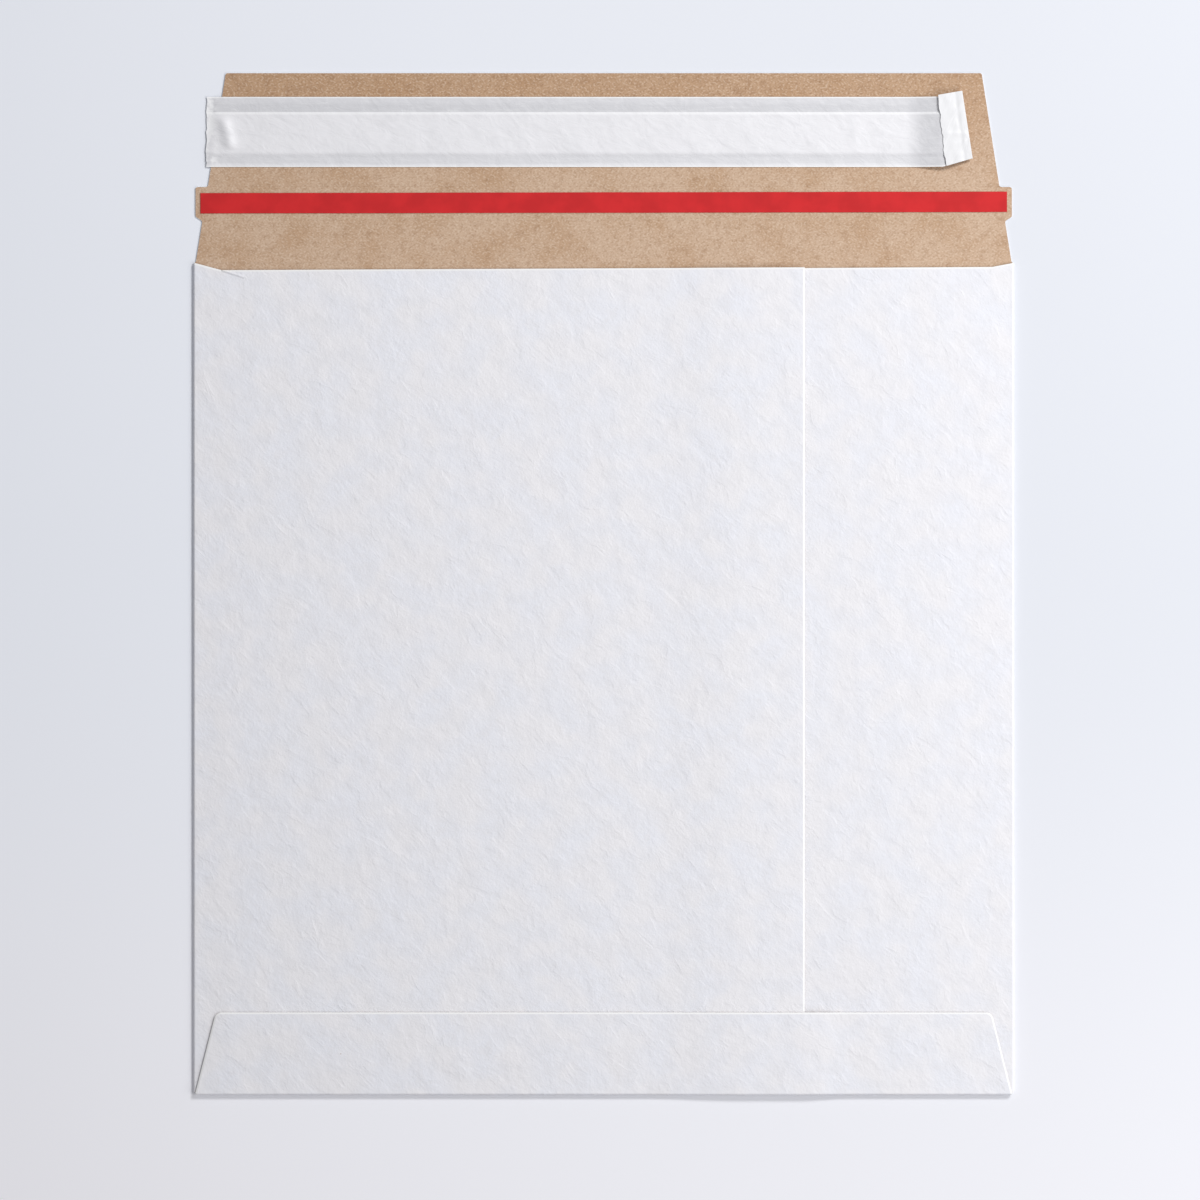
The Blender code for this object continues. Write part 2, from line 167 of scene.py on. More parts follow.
# Greyer towards the finger lift: partly where the liner leaves the adhesive, partly painted shade of its
# rise to the lift
LIFT_GREY_AND_SHADE = (121 * MM, 131 * MM)
# Painted highlight in patches on the liner's torn left end
END_HIGHLIGHT = (LINER_LEFT + 6 * MM, LINER_LEFT + 1 * MM)

# Bands of the kraft's tone, and of the floor's painted light and shade
TIP_TONE = (30 * MM, 70 * MM)
LEFT_TONE = (-20 * MM, -140 * MM)
FLOOR_PAINTED_LIGHT_ACROSS = (-0.3, 0.3)
FLOOR_PAINTED_LIGHT_DOWN = (0.02, -0.30)

# Tolerances: places that are the same, and faces that lie in the board's surface
SAME = 1e-6
SURFACE = 1e-5

# Material slots of the board
KRAFT_SLOT = 1
PULP_AND_HIGHLIGHT_SLOT = 2

# Stage
FLOOR_HALF = 4
FLOOR_DROP = 0.02 * MM
KEY_PLACE = (0.75, 0.75, 1.06)
KEY_SIZE = 0.35
FILL_PLACE = (0.70, -0.30, 0.70)
FILL_SIZE = 0.7
LENS = 200
CAMERA_X = -1.5 * MM
CAMERA_Y = -6.5 * MM


class Value:
    """A node's output. Arithmetic on it adds Math nodes."""

    def __init__(self, finish, socket):
        self.finish = finish
        self.socket = socket

    def maths(self, operation, *numbers):
        return self.finish.node("ShaderNodeMath", {"operation": operation}, dict(enumerate(numbers)))

    def __add__(self, other):
        return self.maths("ADD", self, other)

    def __radd__(self, other):
        return self.maths("ADD", other, self)

    def __sub__(self, other):
        return self.maths("SUBTRACT", self, other)

    def __rsub__(self, other):
        return self.maths("SUBTRACT", other, self)

    def __mul__(self, other):
        return self.maths("MULTIPLY", self, other)

    def __rmul__(self, other):
        return self.maths("MULTIPLY", other, self)

    def __pow__(self, other):
        return self.maths("POWER", self, other)

    def __abs__(self):
        return self.maths("ABSOLUTE", self)


class Finish:
    """One material: a Principled shader and the nodes that feed it."""

    def __init__(self, name):
        self.material = bpy.data.materials.new(name)
        self.material.use_nodes = True
        self.tree = self.material.node_tree
        self.shader = self.tree.nodes["Principled BSDF"]

    def node(self, kind, settings=None, inputs=None, output=0):
        """A new node: its settings first, then the values or links of its sockets."""
        made = self.tree.nodes.new(kind)
        for name, value in (settings or {}).items():
            setattr(made, name, value)
        for name, value in (inputs or {}).items():
            self.feed(made.inputs[name], value)
        return Value(self, made.outputs[output])

    def feed(self, socket, value):
        if isinstance(value, Value):
            self.tree.links.new(value.socket, socket)
        else:
            socket.default_value = value

    def surface(self, **sockets):
        """Sets or links sockets of the shader, named with _ for a space."""
        for name, value in sockets.items():
            self.feed(self.shader.inputs[name.replace("_", " ")], value)
        return self.material

    def flat_place(self):
        """The place on the flat blank, in metres."""
        return self.node("ShaderNodeUVMap", {"uv_map": FLAT_MAP})

    def object_place(self):
        return self.node("ShaderNodeTexCoord", output="Object")

    def turned(self, place, angle, stretch):
        """The place turned about Z, then drawn out along the new X."""
        inputs = {"Vector": place, "Rotation": (0, 0, math.radians(angle))}
        turned = self.node("ShaderNodeMapping", {"vector_type": "POINT"}, inputs)
        scaled = {"Vector": turned, "Scale": (1 / stretch, 1, 1)}
        return self.node("ShaderNodeMapping", {"vector_type": "POINT"}, scaled)

    def noise(self, place, size, detail=2.0, roughness=0.5, distortion=0.0):
        """Soft noise from 0 to 1 whose lumps are about that many metres across."""
        inputs = {
            "Vector": place,
            "Scale": 1 / size,
            "Detail": detail,
            "Roughness": roughness,
            "Distortion": distortion,
        }
        return self.node("ShaderNodeTexNoise", {"noise_dimensions": "3D"}, inputs)

    def ease(self, value, low, high):
        """0 below low, 1 above high, and smooth between."""
        inputs = {"Value": value, "From Min": low, "From Max": high}
        return self.node("ShaderNodeMapRange", {"interpolation_type": "SMOOTHSTEP"}, inputs)

    def part(self, place, axis):
        return self.node("ShaderNodeSeparateXYZ", inputs={0: place}, output=axis)

    def mix(self, share, one, other):
        """One colour going over to another."""
        inputs = {0: share, 6: opaque(one), 7: opaque(other)}
        return self.node("ShaderNodeMix", {"data_type": "RGBA"}, inputs, output=2)

    def bump(self, height, depth=MM):
        """A normal from a height, where a height of 1 is that depth in metres."""
        return self.node("ShaderNodeBump", inputs={"Height": height, "Distance": depth})


def opaque(colour):
    return colour if isinstance(colour, Value) else (*colour, 1.0)


def colour_property(name, description, default):
    return FloatVectorProperty(
        name=name,
        description=description,
        default=default,
        subtype="COLOR",
        size=3,
        min=0,
        max=1,
    )


def length_property(name, description, default, largest):
    return FloatProperty(
        name=name,
        description=description,
        default=default,
        min=0,
        max=largest,
        unit="LENGTH",
        precision=5,
    )


def power_property(name, description, default):
    return FloatProperty(name=name, description=description, default=default, min=0, unit="POWER")


class BoardSettings(bpy.types.PropertyGroup):
    """Sizes and colours of the folded board."""

    cut_edge_slope: length_property(
        "Cut edge slope", "Width of the slope that the knife presses along a cut edge", 0.7 * MM, 0.75 * MM
    )
    cut_edge_drop: length_property(
        "Cut edge drop", "How far that slope drops at the cut edge", 0.18 * MM, 0.25 * MM
    )
    cut_edge_roll: length_property(
        "Cut edge roll", "Radius of the white face's outermost edge", 0.2 * MM, 0.25 * MM
    )
    crease_bead: length_property(
        "Crease bead", "Height of the bead that the flap's crease raises inside", 0.12 * MM, 0.2 * MM
    )
    score_depth: length_property(
        "Score depth", "Depth of the tear strip's two scores", 0.08 * MM, 0.2 * MM
    )
    wrinkle_depth: length_property(
        "Wrinkle depth", "Depth of the fine wrinkles in the white face", 0.25 * MM, 0.5 * MM
    )
    ridge_height: length_property(
        "Ridge height", "Height of the pressed ridge below the throat's left chamfer", 0.42 * MM, 0.5 * MM
    )
    white: colour_property("White face", "Coated outside of the board", (0.85, 0.84, 0.865))
    cool_white: colour_property("Cool patches", "Patches in the white face", (0.825, 0.835, 0.89))
    kraft: colour_property("Kraft face", "Inside of the board", (0.602, 0.43, 0.303))
    tip_kraft: colour_property("Brown kraft", "Browner tone of the inside", (0.46, 0.272, 0.146))
    pale_kraft: colour_property("Pale fibres", "Pale fibres of the inside", (0.76, 0.61, 0.47))
    dark_kraft: colour_property("Dark fibres", "Dark fibres of the inside", (0.34, 0.19, 0.10))
    # Whiter than the white face: the pulp's own colour and a painted highlight along the cut edges
    core: colour_property("Core", "Pulp that shows at the cut edges", (0.95, 0.95, 0.95))


class TapeSettings(bpy.types.PropertyGroup):
    """Colour and surface of the tear tape."""

    red: colour_property("Film", "Red film of the tear tape", (0.655, 0.026, 0.029))
    roughness: FloatProperty(
        name="Roughness", description="Roughness of the film", default=0.36, min=0, max=1
    )


class LinerSettings(bpy.types.PropertyGroup):
    """Sizes and colours of the release liner."""

    tear: length_property("Tear", "How far the torn ends wander", 0.4 * MM, 1 * MM)
    blister: length_property("Blister", "Height of the blister near the left end", 0.95 * MM, 1 * MM)
    lift_rise: length_property("Lift rise", "Rise of the liner up to the fold", 1.5 * MM, 1.6 * MM)
    lift_opening: length_property(
        "Lift opening", "Rise of the folded end towards its free edge", 0.95 * MM, 1.1 * MM
    )
    white: colour_property("Glassine", "Liner over the adhesive", (0.84, 0.835, 0.86))
    grey: colour_property("Seen through", "Liner that lies on bare board", (0.66, 0.66, 0.685))
    back: colour_property("Coated side", "Side that the finger lift turns up", (0.80, 0.80, 0.815))
    # Colour of the painted highlights on the liner: its rims, the adhesive's upper edge and its torn left
    # end
    bright: colour_property("Bright edge", "Rims of the liner and edge of the adhesive", (0.96, 0.96, 0.97))


class GlueSettings(bpy.types.PropertyGroup):
    """Colours of the adhesive and the glue lines."""

    adhesive: colour_property("Adhesive", "Self-seal adhesive under the liner", (0.80, 0.78, 0.68))
    hot_melt: colour_property("Hot melt", "Glue of the seam and the bottom flap", (0.78, 0.70, 0.48))


class StageSettings(bpy.types.PropertyGroup):
    """Floor, lamps and camera."""

    # The floor's colours are painted light and shade: lighter at the left, darker at the right and lighter
    # again below the envelope
    left_floor: colour_property("Floor, left", "Floor at the left", (0.89, 0.915, 0.975))
    right_floor: colour_property("Floor, right", "Floor at the right", (0.72, 0.74, 0.79))
    floor_painted_light_below: colour_property("Floor, below", "Floor below the envelope", (0.98, 0.965, 1.0))
    daylight: colour_property("Daylight", "Colour of the even light", (0.97, 0.97, 1.0))
    daylight_strength: FloatProperty(
        name="Daylight strength", description="Strength of the even light", default=0.34, min=0, max=2
    )
    key_power: power_property("Key lamp", "Power of the lamp at the upper right", 12.8)
    fill_power: power_property("Fill lamp", "Power of the wide lamp at the right", 4.1)
    frame_width: length_property("Frame width", "Width that the camera shows", 482.9 * MM, 2)


def stations(start, end, spacing):
    """Evenly spaced places from start to end, at most that far apart."""
    count = max(1, math.ceil(abs(end - start) / spacing))
    return [start + (end - start) * i / count for i in range(count + 1)]


def eased(share):
    share = min(max(share, 0.0), 1.0)
    return share * share * (3 - 2 * share)


def climbed(share, start=0.4, stop=0.15):
    """Share of a climb that starts softly, goes on evenly and rounds off at the top."""
    share = min(max(share, 0.0), 1.0)
    whole = 1 - (start + stop) / 2
    if share < start:
        return share**2 / (2 * start) / whole
    if share < 1 - stop:
        return (share - start / 2) / whole
    return 1 - (1 - share) ** 2 / (2 * stop) / whole


def mixed(one, other, share):
    return [a + (b - a) * share for a, b in zip(one, other)]


def sway(size, x, y=0.0, draw=0.0):
    """Smooth wandering from -1 to 1, whose swings are about that long. Each draw is another."""
    return noise.noise(Vector((x / size, y / size, draw + 0.5)))


def cut_across(bm, axis, places, faces=None):
    """Cuts the faces at each place along an axis, so that they can bend there."""
    for place in places:
        point = Vector((0, 0, 0))
        point[axis] = place
        cut_along(bm, point, Vector([float(i == axis) for i in range(3)]), faces)


def cut_along(bm, point, normal, chosen=None):
    faces = [f for f in bm.faces if chosen is None or chosen(f)]
    edges = {e for f in faces for e in f.edges}
    verts = {v for f in faces for v in f.verts}
    bmesh.ops.bisect_plane(
        bm, geom=[*verts, *edges, *faces], dist=SAME, plane_co=point, plane_no=normal
    )


def mark_flat_places(bm):
    """Keeps each corner's place on the flat blank as the piece's own map."""
    layer = bm.loops.layers.uv.new(FLAT_MAP)
    for face in bm.faces:
        for loop in face.loops:
            loop[layer].uv = loop.vert.co.xy


def finish_piece(name, bm, materials, crisp=40):
    """Makes the object. Edges that turn by more than crisp degrees stay sharp."""
    mesh = bpy.data.meshes.new(name)
    bm.to_mesh(mesh)
    bm.free()
    obj = bpy.data.objects.new(name, mesh)
    bpy.context.scene.collection.objects.link(obj)
    for material in materials:
        mesh.materials.append(material)
    mesh.shade_smooth()
    mesh.set_sharp_from_angle(angle=math.radians(crisp))
    even = obj.modifiers.new("even shading", "WEIGHTED_NORMAL")
    even.keep_sharp = True
    return obj


def thicken(bm, thickness):
    """Gives flat faces a thickness, half of it on each side."""
    bmesh.ops.solidify(bm, geom=bm.faces[:], thickness=thickness)
    low = min(v.co.z for v in bm.verts)
    bmesh.ops.translate(bm, verts=bm.verts, vec=(0, 0, -thickness / 2 - low))
    bmesh.ops.recalc_face_normals(bm, faces=bm.faces)


def flat_strip(start, end, width, thickness):
    """A flat strip from one place to another along X, with its lower edge at Y 0."""
    bm = bmesh.new()
    bmesh.ops.create_grid(bm, x_segments=1, y_segments=1, size=0.5)
    for vert in bm.verts:
        along, up = vert.co.x + 0.5, vert.co.y + 0.5
        vert.co = (start + (end - start) * along, width * up, 0)
    thicken(bm, thickness)
    return bm


def left_panel_z(x):
    """Middle height of the left back panel, which climbs onto the right one."""
    return BACK_Z + GLUED_STEP * eased((x - RAMP_START) / RAMP)


def bottom_flap_z(x):
    """Middle height of the bottom flap, which comes down again past the seam."""
    return left_panel_z(x) + GLUED_STEP * (1 - eased((x - SEAM_X) / DESCENT))


def back_half(x, left):
    """Distance across the blank from its middle line to a place on a back panel."""
    return FLAT_HALF + BACK_START + (x if left else -x)


def wrapped(across, inward):
    """X and Z of a point of the blank, wrapped round the sides of the pocket.

    inward is how far it lies from the board's middle towards the inside of the pocket.
    """
    side = math.copysign(1, across)
    reach = abs(across)
    if reach <= FLAT_HALF:
        return across, FRONT_Z + inward
    if reach <= BACK_START:
        angle = (reach - FLAT_HALF) / FOLD_RADIUS
        radius = FOLD_RADIUS - inward
        x = FLAT_HALF + radius * math.sin(angle)
        return side * x, FRONT_Z + FOLD_RADIUS - radius * math.cos(angle)
    x = side * (2 * FLAT_HALF + FOLD_LENGTH - reach)
    return x, (left_panel_z(x) if side < 0 else BACK_Z) - inward


def turned_up(x, along, inward):
    """Y and Z of a point past the bottom fold, where the bottom flap turns up."""
    past = PANEL_END - along
    top = bottom_flap_z(x)
    if past >= BOTTOM_FOLD:
        return PANEL_END + past - BOTTOM_FOLD, top - inward
    quarter = FOLD_LENGTH / 2
    rise = top - BACK_Z
    path = past / BOTTOM_FOLD * (2 * quarter + rise)
    radius = FOLD_RADIUS - inward
    if path < quarter:
        angle = path / FOLD_RADIUS
        y = PANEL_END - radius * math.sin(angle)
        return y, FRONT_Z + FOLD_RADIUS - radius * math.cos(angle)
    if path < quarter + rise:
        return PANEL_END - radius, FRONT_Z + FOLD_RADIUS + path - quarter
    angle = (path - quarter - rise) / FOLD_RADIUS
    y = PANEL_END - radius * math.cos(angle)
    return y, top - FOLD_RADIUS + radius * math.sin(angle)


def folded(point):
    """Where a point of the flat blank goes when the board is folded."""
    across, along, inward = point
    if along < PANEL_END:
        y, z = turned_up(across, along, inward)
        return across, CREASE + y, z
    x, z = wrapped(across, inward)
    return x, CREASE + along, z


def flap_outline():
    """The closing flap on the flat blank: right side upwards, then left side down."""
    right = [FLAP_ROOT, FLAP_UNDER_TAB, TAB_LOW, TAB_HIGH, FLAP_OVER_TAB, FLAP_TIP]
    return right + [(-x, y) for x, y in reversed(right)]


def blank_panels():
    """Corners of each panel of the flat blank."""
    flat, fold = FLAT_HALF, BACK_START
    middle = (flat + fold) / 2
    left_edge = back_half(SEAM_X, True)
    right_edge = back_half(HIDDEN_EDGE_X, False)
    left_chamfer = back_half(THROAT_LEFT[0][0], True)
    right_chamfer = back_half(THROAT_RIGHT[0][0], False)
    front = [(-flat, PANEL_END), (flat, PANEL_END), (flat, 0), (-flat, 0)]
    crease = [(-flat, 0), (flat, 0), FLAP_ROOT, (-FLAP_ROOT[0], FLAP_ROOT[1])]
    bottom_fold = [(-flat, TUCK), (flat, TUCK), (flat, PANEL_END), (-flat, PANEL_END)]
    bottom_flap = [
        (-BOTTOM_HALF, BOTTOM_FREE),
        (BOTTOM_HALF, BOTTOM_FREE),
        (flat, TUCK),
        (-flat, TUCK),
    ]
    right_fold = [
        (flat, PANEL_END),
        (fold, PANEL_END),
        (fold, THROAT_CHAMFER),
        (middle, THROAT_FOLD),
        (flat, 0),
    ]
    left_fold = [(-x, y) for x, y in reversed(right_fold)]
    right_back = [
        (fold, PANEL_END),
        (right_edge, PANEL_END),
        (right_edge, THROAT_RIGHT[1][1]),
        (right_chamfer, THROAT_RIGHT[0][1]),
        (fold, THROAT_CHAMFER),
    ]
    left_back = [
        (-left_edge, PANEL_END),
        (-fold, PANEL_END),
        (-fold, THROAT_CHAMFER),
        (-left_chamfer, THROAT_LEFT[0][1]),
        (-left_edge, THROAT_LEFT[1][1]),
    ]
    return [
        front,
        crease,
        bottom_fold,
        bottom_flap,
        right_fold,
        left_fold,
        right_back,
        left_back,
        flap_outline(),
    ]


def round_corners(bm, corners, radius):
    """Rounds the blank's outline at these corners."""
    for x, y in corners:
        vert = min(bm.verts, key=lambda v: (v.co.xy - Vector((x, y))).length)
        before, after = [e.other_vert(vert).co - vert.co for e in vert.link_edges][:2]
        offset = radius / math.tan(before.angle(after) / 2)
        bmesh.ops.bevel(
            bm,
            geom=[vert],
            offset=offset,
            offset_type="OFFSET",
            segments=6,
            profile=0.5,
            affect="VERTICES",
            material=-1,
        )


def make_blank():
    """The die-cut blank: its panels as flat faces."""
    bm = bmesh.new()
    for corners in blank_panels():
        bm.faces.new([bm.verts.new((x, y, 0)) for x, y in corners])
    bmesh.ops.remove_doubles(bm, verts=bm.verts, dist=SAME)
    bmesh.ops.recalc_face_normals(bm, faces=bm.faces)
    return bm


def slope_cut_edges(bm, width, drop):
    """Presses a shallow slope into the white face along the blank's outline."""
    white = [f for f in bm.faces if f.normal.z < -0.5]
    bmesh.ops.inset_region(
        bm, faces=white, thickness=width, depth=0, use_boundary=True, use_even_offset=True
    )
    for vert in bm.verts:
        at_rim = any(abs(face.normal.z) < 0.5 for face in vert.link_faces)
        if at_rim and vert.co.z < 0:
            vert.co.z += drop


def roll_cut_edges(bm, roll):
    """Rounds the outermost edges of both faces."""
    rims = [f for f in bm.faces if abs(f.normal.z) < 0.5]
    edges = {e for f in rims for e in f.edges}
    white = [e for e in edges if all(v.co.z < 0 for v in e.verts)]
    kraft = [e for e in edges if all(v.co.z > 0 for v in e.verts)]
    for chosen, offset, segments in ((white, roll, 3), (kraft, 0.05 * MM, 1)):
        bmesh.ops.bevel(
            bm,
            geom=chosen,
            offset=offset,
            offset_type="OFFSET",
            segments=segments,
            profile=0.5,
            affect="EDGES",
            material=-1,
        )


def cut_fold_lines(bm):
    """Adds the lines along which the blank bends, and an even net between them."""
    left_edge = -back_half(SEAM_X, True)
    right_edge = back_half(HIDDEN_EDGE_X, False)
    across = stations(left_edge, -BACK_START, 5 * MM)[1:]
    across += stations(-BACK_START, -FLAT_HALF, 0.1 * MM)[1:]
    across += stations(-FLAT_HALF, FLAT_HALF, 5 * MM)[1:]
    across += stations(FLAT_HALF, BACK_START, 0.1 * MM)[1:]
    across += stations(BACK_START, right_edge, 5 * MM)[1:-1]
    along = stations(TUCK - BOTTOM_HEIGHT, TUCK, 5 * MM)[1:]
    along += stations(TUCK, PANEL_END, 0.15 * MM)[1:]
    along += stations(PANEL_END, -4 * MM, 7 * MM)[1:]
    along += stations(-1.2 * MM, 2.4 * MM, 0.3 * MM)
    along += stations(5 * MM, FLAP_TIP[1], 6 * MM)[:-1]
    for score in SCORES:
        along += [score - SCORE_HALF, score, score + SCORE_HALF]
    cut_across(bm, 0, across)
    cut_across(bm, 1, along)


def press_scores(bm, depth, bead):
    """Presses the tear strip's two scores, and raises a bead inside along the crease."""
    for vert in bm.verts:
        if vert.co.z > BOARD / 4 and abs(vert.co.x) < FLAT_HALF:
            vert.co.z += bead * eased(1 - abs(vert.co.y) / CREASE_BEAD_HALF)
        if any(abs(vert.co.y - score) < SAME for score in SCORES):
            if vert.co.z > BOARD / 4:
                vert.co.z -= depth
            elif vert.co.z < -BOARD / 2 + SAME:
                vert.co.z += depth * SCORE_OUTSIDE


def raise_throat_ridge(bm, height):
    """A short ridge that runs on from the throat's left chamfer into the panel."""
    start = Vector((-back_half(THROAT_LEFT[0][0], True), THROAT_LEFT[0][1], 0))
    end = start + Vector((*RIDGE_RUN, 0))
    run = (end - start).normalized()
    normal = Vector((-run.y, run.x, 0))

    def near(face):
        centre = face.calc_center_median()
        return (centre - start).length < RIDGE_REACH

    for offset in RIDGE_LINES:
        cut_along(bm, start + normal * offset, normal, near)
    for vert in bm.verts:
        place = Vector((vert.co.x, vert.co.y, 0)) - start
        share = place.dot(run) / (end - start).length
        if abs(place.dot(normal)) < SAME and -0.1 < share < 1:
            vert.co.z -= height * (1 - max(share, 0) ** 3)


def mark_faces(bm):
    """Gives each face of the flat board its slot: white outside, kraft inside, pulp between, whose whiter
    colour is partly a painted highlight along the cut edges.
    """
    for face in bm.faces:
        height = face.calc_center_median().z
        if height > BOARD / 2 - SURFACE:
            face.material_index = KRAFT_SLOT
        elif height > SURFACE - BOARD / 2:
            face.material_index = PULP_AND_HIGHLIGHT_SLOT


def make_board(settings):
    """The whole board as one sheet: cut, rolled at its edges, scored and folded."""
    bm = make_blank()
    tip = [FLAP_TIP, (-FLAP_TIP[0], FLAP_TIP[1])]
    tabs = [FLAP_UNDER_TAB, TAB_LOW, TAB_HIGH, FLAP_OVER_TAB]
    bottom = [(-BOTTOM_HALF, BOTTOM_FREE), (BOTTOM_HALF, BOTTOM_FREE)]
    round_corners(bm, bottom, BOTTOM_CORNER)
    round_corners(bm, tip, TIP_CORNER)
    round_corners(bm, [*tabs, *((-x, y) for x, y in tabs)], TAB_CORNER)
    thicken(bm, BOARD)
    slope_cut_edges(bm, settings.cut_edge_slope, settings.cut_edge_drop)
    roll_cut_edges(bm, settings.cut_edge_roll)
    cut_fold_lines(bm)
    mark_faces(bm)
    press_scores(bm, settings.score_depth, settings.crease_bead)
    raise_throat_ridge(bm, settings.ridge_height)
    mark_flat_places(bm)
    for vert in bm.verts:
        vert.co = folded(vert.co)
    return finish_piece(
        "board_blank",
        bm,
        [white_board(settings), kraft_board(settings), board_pulp_and_edge_highlight(settings)],
        crisp=12,
    )


def adhesive_edges():
    """Lower and upper edge of the adhesive, measured up across the liner."""
    return ADHESIVE_LOW.y - CREASE - LINER_Y, ADHESIVE_HIGH.y - CREASE - LINER_Y


def over_adhesive(along, up):
    """How far the adhesive under it and the film's own ripple raise the liner."""
    low, high = adhesive_edges()
    onto_low = eased((up - low) / LINER_SHOULDER[0] + 1)
    onto_high = eased((high - up) / LINER_SHOULDER[1] + 1)
    from_left = eased((along - LINER_LEFT + 2 * MM) / (10 * MM))
    ripple = 0.03 * MM * (1 + sway(7 * MM, along * 0.6, up))
    return LINER_RAISED * onto_low * onto_high * from_left + ripple


def climb_to_fold(along, lift_rise):
    """How far the liner has climbed on its way to the finger lift's fold."""
    slope = (along - LIFT_SLOPE[0]) / (LIFT_SLOPE[1] - LIFT_SLOPE[0])
    down = eased((along - LIFT_SLOPE[1]) / (LIFT_BOW_END - LIFT_SLOPE[1]))
    return (lift_rise + LIFT_BOW) * climbed(slope) - LIFT_BOW * down


def blister_height(along, up, settings):
    """The slanting blister at the adhesive's left end, which fades out towards its edges."""
    low, high = adhesive_edges()
    crest = ADHESIVE_LOW.x - 0.3 * MM + 0.25 * ((low + high) / 2 - up)
    crest += 0.6 * MM * sway(5 * MM, up, draw=12)
    blister = math.exp(-(((along - crest) / (2.5 * MM)) ** 2))
    window = eased((up - low) / (4 * MM)) * eased((high - up) / (4 * MM))
    return settings.blister * blister * window


def straight_liner(along, up, outward, settings):
    """The liner from its torn left end, which curls and hangs past the flap, to the lift."""
    end = eased((ADHESIVE_LOW.x - 2 * MM - along) / (6 * MM))
    curl = 0.15 * MM * end * (0.5 + sway(7 * MM, up, draw=3))
    torn = end * settings.tear * (sway(5 * MM, up) + 0.6 * sway(1.6 * MM, up, draw=7))
    side = mixed(FLAP_OVER_TAB, FLAP_TIP, (LINER_Y + up - FLAP_OVER_TAB[1]) / FLAP_RUN)[0]
    droop = LINER_DROOP * eased((-along - side) / (4 * MM))
    z = FILM_Z + FILM / 2 + over_adhesive(along, up) + blister_height(along, up, settings)
    z += curl + climb_to_fold(along, settings.lift_rise) - droop
    return along + torn, CREASE + LINER_Y + up, z + outward


def lift_dents(share, x, y, up):
    """Dents of the finger lift: wandering ones, a crimp by its fold and one across it."""
    dents = 0.26 * MM * math.sin(math.pi * share) * (0.35 + sway(4.2 * MM, x * 1.3, y, draw=4))
    dents -= 0.12 * MM * math.exp(-(((share - 0.27) / 0.07) ** 2))
    across_lift = (up - LINER_WIDTH * (0.36 + 0.1 * share)) / (0.9 * MM)
    return dents + 0.2 * MM * math.exp(-(across_lift**2)) * (1 - share)


def finger_lift(past, up, outward, fold, settings):
    """The folded end: round the fold, then back over the liner to its free edge."""
    middle = FILM_Z + FILM / 2 + settings.lift_rise
    if past <= math.pi * LIFT_RADIUS:
        angle = past / LIFT_RADIUS
        radius = LIFT_RADIUS - outward
        x = fold[0] + radius * math.sin(angle)
        return x, CREASE + fold[1], middle + LIFT_RADIUS - radius * math.cos(angle)
    share = (past - math.pi * LIFT_RADIUS) / LIFT_BACK
    x, y = mixed(fold, mixed(*LIFT_EDGE, up / LINER_WIDTH), share)
    torn = settings.tear * share * (sway(4 * MM, up, draw=20) + 0.7 * sway(1.5 * MM, up, draw=9))
    rise = 2 * LIFT_RADIUS + settings.lift_opening * share**1.2 + lift_dents(share, x, y, up)
    return x + torn, CREASE + y, middle + rise - outward


def liner_place(point, settings):
    """Where a point of the flat liner goes: along its length, up across it and out of it."""
    along, up, outward = point
    if along <= LIFT_START:
        return straight_liner(along, up, outward, settings)
    fold = mixed(*LIFT_FOLD, up / LINER_WIDTH)
    share = (along - LIFT_START) / LIFT_LENGTH
    if share > 1:
        return finger_lift(along - LIFT_START - LIFT_LENGTH, up, outward, fold, settings)
    x, y = mixed((LIFT_START, LINER_Y + up), fold, share)
    rise = climb_to_fold(along, settings.lift_rise) + over_adhesive(along, up) * (1 - eased(share))
    return x, CREASE + y, FILM_Z + FILM / 2 + rise + outward


def make_liner(settings):
    """The release liner, raised over the adhesive, with its right end folded back."""
    start = LINER_LEFT
    turn = LIFT_START + LIFT_LENGTH
    back = turn + math.pi * LIFT_RADIUS
    end = back + LIFT_BACK
    bm = flat_strip(start, end, LINER_WIDTH, FILM)
    along = stations(start, start + 16 * MM, 0.6 * MM)[1:]
    along += stations(start + 16 * MM, LIFT_SLOPE[0], 3 * MM)[1:]
    along += stations(LIFT_SLOPE[0], turn, 0.8 * MM)[1:]
    along += stations(turn, back, 0.1 * MM)[1:]
    along += stations(back, end, 0.5 * MM)[1:-1]
    cut_across(bm, 0, along)
    cut_across(bm, 1, stations(0, LINER_WIDTH, 0.5 * MM)[1:-1])
    mark_flat_places(bm)
    for face in bm.faces:
        face.material_index = int(face.calc_center_median().x > turn + LIFT_RADIUS)
    for vert in bm.verts:
        vert.co = liner_place(vert.co, settings)
    return finish_piece("release_liner_sheet", bm, [glassine(settings), coated_glassine(settings)])


def make_tape(settings):
    """The tear tape: a film with slightly wandering slit edges."""
    bm = flat_strip(TAPE_LOW.x, TAPE_HIGH.x, TAPE_HIGH.y - TAPE_LOW.y, FILM)
    cut_across(bm, 0, stations(TAPE_LOW.x, TAPE_HIGH.x, 4 * MM)[1:-1])
    cut_across(bm, 1, stations(0, TAPE_HIGH.y - TAPE_LOW.y, 1.5 * MM)[1:-1])
    mark_flat_places(bm)
    for vert in bm.verts:
        x, up, outward = vert.co
        climb = 0.3 * MM * x / TAPE_HIGH.x
        wander = 0.06 * MM * sway(14 * MM, x, up * 3)
        lie = 0.02 * MM * (1 + sway(9 * MM, x, up))
        vert.co = (x, TAPE_LOW.y + up + climb + wander, FILM_Z + FILM / 2 + lie + outward)
    return finish_piece("tear_tape_film", bm, [red_film(settings)])


